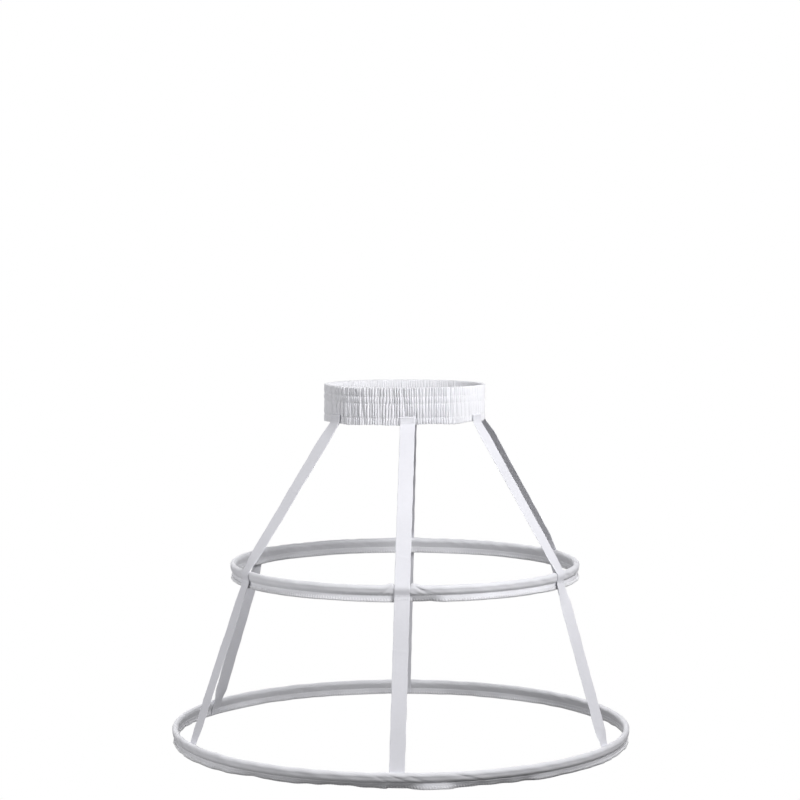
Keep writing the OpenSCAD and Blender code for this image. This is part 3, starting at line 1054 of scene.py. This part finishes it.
for casing in (upper_casing, lower_casing):
    cloth = make_casing(casing)
    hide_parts(casing.name)
    stitching = make_casing_stitches(casing)
    overlock = make_overlock(casing)

for number, name in enumerate(STRAPS):
    strap = Strap(number)
    tape = make_strap(number, strap)
    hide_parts("strap_" + name)
    sewing = make_strap_stitches(number, strap)

# The hidden pieces keep their solids
for name, material in (("waist_elastic", elastic_white), ("upper_hoop", rod_white), ("lower_hoop", rod_white),
                       ("upper_joiner", joiner_grey), ("lower_joiner", joiner_grey)):
    nodes[name].data.materials.clear()
    nodes[name].data.materials.append(material)


# Studio: a pale floor a waist's height below, a white surround and soft lamps

FLOOR_Z = -1.0
FLOOR_REACH = 12
FLOOR_FADE = (0.9, 1.7)
FLOOR_WHITE = 0.55
FLOOR_PALE = (0.85, 0.85, 0.85)
FLOOR_DARK = (0.12, 0.12, 0.12)
FLOOR_ROUGHNESS = 0.9
SURROUND_LIGHT = 0.02
SURROUND_TINT = (0.97, 0.98, 1, 1)


def seen_directly(tree):
    """1 for camera, glossy and transmission rays, 0 for the light that reaches the object."""
    path = tree.nodes.new("ShaderNodeLightPath").outputs
    either = math_node(tree, "MAXIMUM", path["Is Camera Ray"], path["Is Glossy Ray"])
    return math_node(tree, "MAXIMUM", either, path["Is Transmission Ray"])


def mix_surface(tree, factor, first, second, output):
    """The surface of a material or the world, mixed from two shaders."""
    mix = tree.nodes.new("ShaderNodeMixShader")
    tree.links.new(factor, mix.inputs["Fac"])
    tree.links.new(first.outputs[0], mix.inputs[1])
    tree.links.new(second.outputs[0], mix.inputs[2])
    tree.links.new(mix.outputs[0], tree.nodes[output].inputs["Surface"])


def make_surround():
    """White where it is seen, and a faint light for the object."""
    world = bpy.data.worlds.new("surround")
    bpy.context.scene.world = world
    world.use_nodes = True
    tree = world.node_tree
    soft = tree.nodes["Background"]
    soft.inputs["Color"].default_value = SURROUND_TINT
    soft.inputs["Strength"].default_value = SURROUND_LIGHT
    white = tree.nodes.new("ShaderNodeBackground")
    white.inputs["Color"].default_value = (1, 1, 1, 1)
    mix_surface(tree, seen_directly(tree), soft, white, "World Output")


def make_floor():
    """A pale floor that shows the object's shadow and passes into the white surround."""
    mesh = bpy.data.meshes.new("floor")
    corners = [(-1, -1), (1, -1), (1, 1), (-1, 1)]
    mesh.from_pydata([(x * FLOOR_REACH, y * FLOOR_REACH, FLOOR_Z) for x, y in corners], [], [(0, 1, 2, 3)])
    floor = bpy.data.objects.new("floor", mesh)
    bpy.context.scene.collection.objects.link(floor)
    material, tree, shader = new_material("floor")
    shader.inputs["Roughness"].default_value = FLOOR_ROUGHNESS
    seen = seen_directly(tree)
    tree.links.new(colour_between(tree, seen, FLOOR_DARK, FLOOR_PALE), shader.inputs["Base Color"])
    flat = tree.nodes.new("ShaderNodeVectorMath")
    flat.operation = "MULTIPLY"
    flat.inputs[1].default_value = (1, 1, 0)
    tree.links.new(tree.nodes.new("ShaderNodeTexCoord").outputs["Object"], flat.inputs[0])
    distance = tree.nodes.new("ShaderNodeVectorMath")
    distance.operation = "LENGTH"
    tree.links.new(flat.outputs[0], distance.inputs[0])
    fade = tree.nodes.new("ShaderNodeMapRange")
    fade.interpolation_type = "SMOOTHSTEP"
    fade.inputs["From Min"].default_value = FLOOR_FADE[0]
    fade.inputs["From Max"].default_value = FLOOR_FADE[1]
    fade.inputs["To Min"].default_value = FLOOR_WHITE
    tree.links.new(distance.outputs["Value"], fade.inputs["Value"])
    white = tree.nodes.new("ShaderNodeEmission")
    factor = math_node(tree, "MULTIPLY", fade.outputs["Result"], seen)
    mix_surface(tree, factor, shader, white, "Material Output")
    mesh.materials.append(material)


def make_lamp(name, place, target, size, power):
    """A round soft lamp that points at a target."""
    lamp = bpy.data.objects.new(name, bpy.data.lights.new(name, "AREA"))
    lamp.data.shape = "DISK"
    lamp.data.size = size
    lamp.data.energy = power
    lamp.location = place
    lamp.rotation_euler = (Vector(target) - Vector(place)).to_track_quat("-Z", "Y").to_euler()
    bpy.context.scene.collection.objects.link(lamp)


make_camera()
make_surround()
make_floor()
make_lamp("key", place=(0.75, -0.9, 0.62), target=(0, -0.09, 0), size=0.45, power=16)
make_lamp("left", place=(-0.85, -1.05, 0.05), target=(0, -0.2, -0.15), size=0.45, power=5)
make_lamp("right_side", place=(1.6, -0.3, 0.4), target=(0, 0, -0.2), size=0.6, power=3.5)
make_lamp("left_side", place=(-1.6, -0.3, 0.4), target=(0, 0, -0.2), size=0.6, power=6.5)
make_lamp("back", place=(-0.5, 1.6, 0.7), target=(0, 0.1, -0.15), size=0.7, power=22)
bpy.context.scene.view_settings.view_transform = "Standard"
